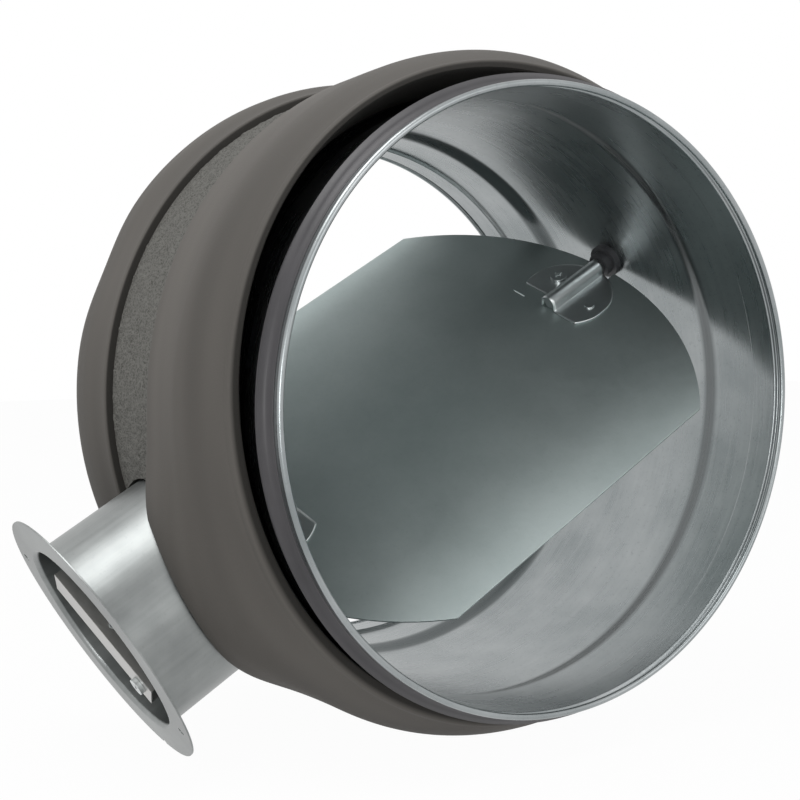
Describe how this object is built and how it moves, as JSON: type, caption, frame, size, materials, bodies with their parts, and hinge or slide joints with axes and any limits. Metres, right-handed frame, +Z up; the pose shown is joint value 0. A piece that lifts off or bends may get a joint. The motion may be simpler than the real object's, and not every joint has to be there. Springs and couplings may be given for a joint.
{
  "type": "volume control damper",
  "caption": "Round insulated duct damper: sheet casing with a gasketed spigot at each end, tilting blade on a cross shaft, and a flanged side collar with a locking handle.",
  "frame": {"origin": "centre of the near spigot's open end, on the duct axis", "axes": "+X along the duct axis and out of the near spigot, +Z up as the damper lies on its foam and on the collar's flange; the shaft is square to X and points down through the collar, about 31 degrees below -Y"},
  "size_m": [0.2336, 0.4121, 0.3586],
  "materials": {
    "galvanised_sheet": "satin galvanised",
    "blade_sheet": "satin galvanised",
    "plated_steel": "zinc plated",
    "gasket_rubber": "smooth black",
    "smooth_foam": "matt grey-brown closed-cell foam",
    "rough_foam": "open-faced grey foam",
    "bush_plastic": "dark grey plastic"
  },
  "bodies": {
    "casing": {"duct_body": "galvanised_sheet", "near_gasket": "gasket_rubber", "far_gasket": "gasket_rubber", "near_foam_band": "smooth_foam", "channel_foam": "rough_foam", "far_foam_band": "smooth_foam", "collar": "galvanised_sheet", "collar_rivets": "plated_steel", "front_bush": "bush_plastic", "rear_bush": "bush_plastic", "front_bush_ring": "plated_steel", "rear_bush_ring": "plated_steel", "dial_plate": "galvanised_sheet", "dial_bush": "bush_plastic"},
    "blade": {"blade": "blade_sheet", "rear_blade_bracket": "plated_steel", "front_blade_bracket": "plated_steel", "bracket_screws": "plated_steel", "bracket_nuts": "plated_steel", "bracket_rivets": "plated_steel", "idle_pin": "plated_steel", "drive_shaft": "plated_steel", "handle": "galvanised_sheet", "handle_pin": "plated_steel", "lock_spacer": "plated_steel", "lock_nut": "plated_steel"},
    "lock": {"lock_screw": "plated_steel"}
  },
  "joints": [
    {"name": "blade_turn", "type": "hinge", "parent": "casing", "child": "blade", "pos_m": [-0.125, 0, 0], "axis": [0, 0.8588, 0.5123], "range_deg": [-30.5, 59.5]},
    {"name": "lock_turn", "type": "hinge", "parent": "blade", "child": "lock", "pos_m": [-0.10779, -0.18167, -0.137], "axis": [0, -0.8588, -0.5123], "range_deg": [0, 180]}
  ]
}
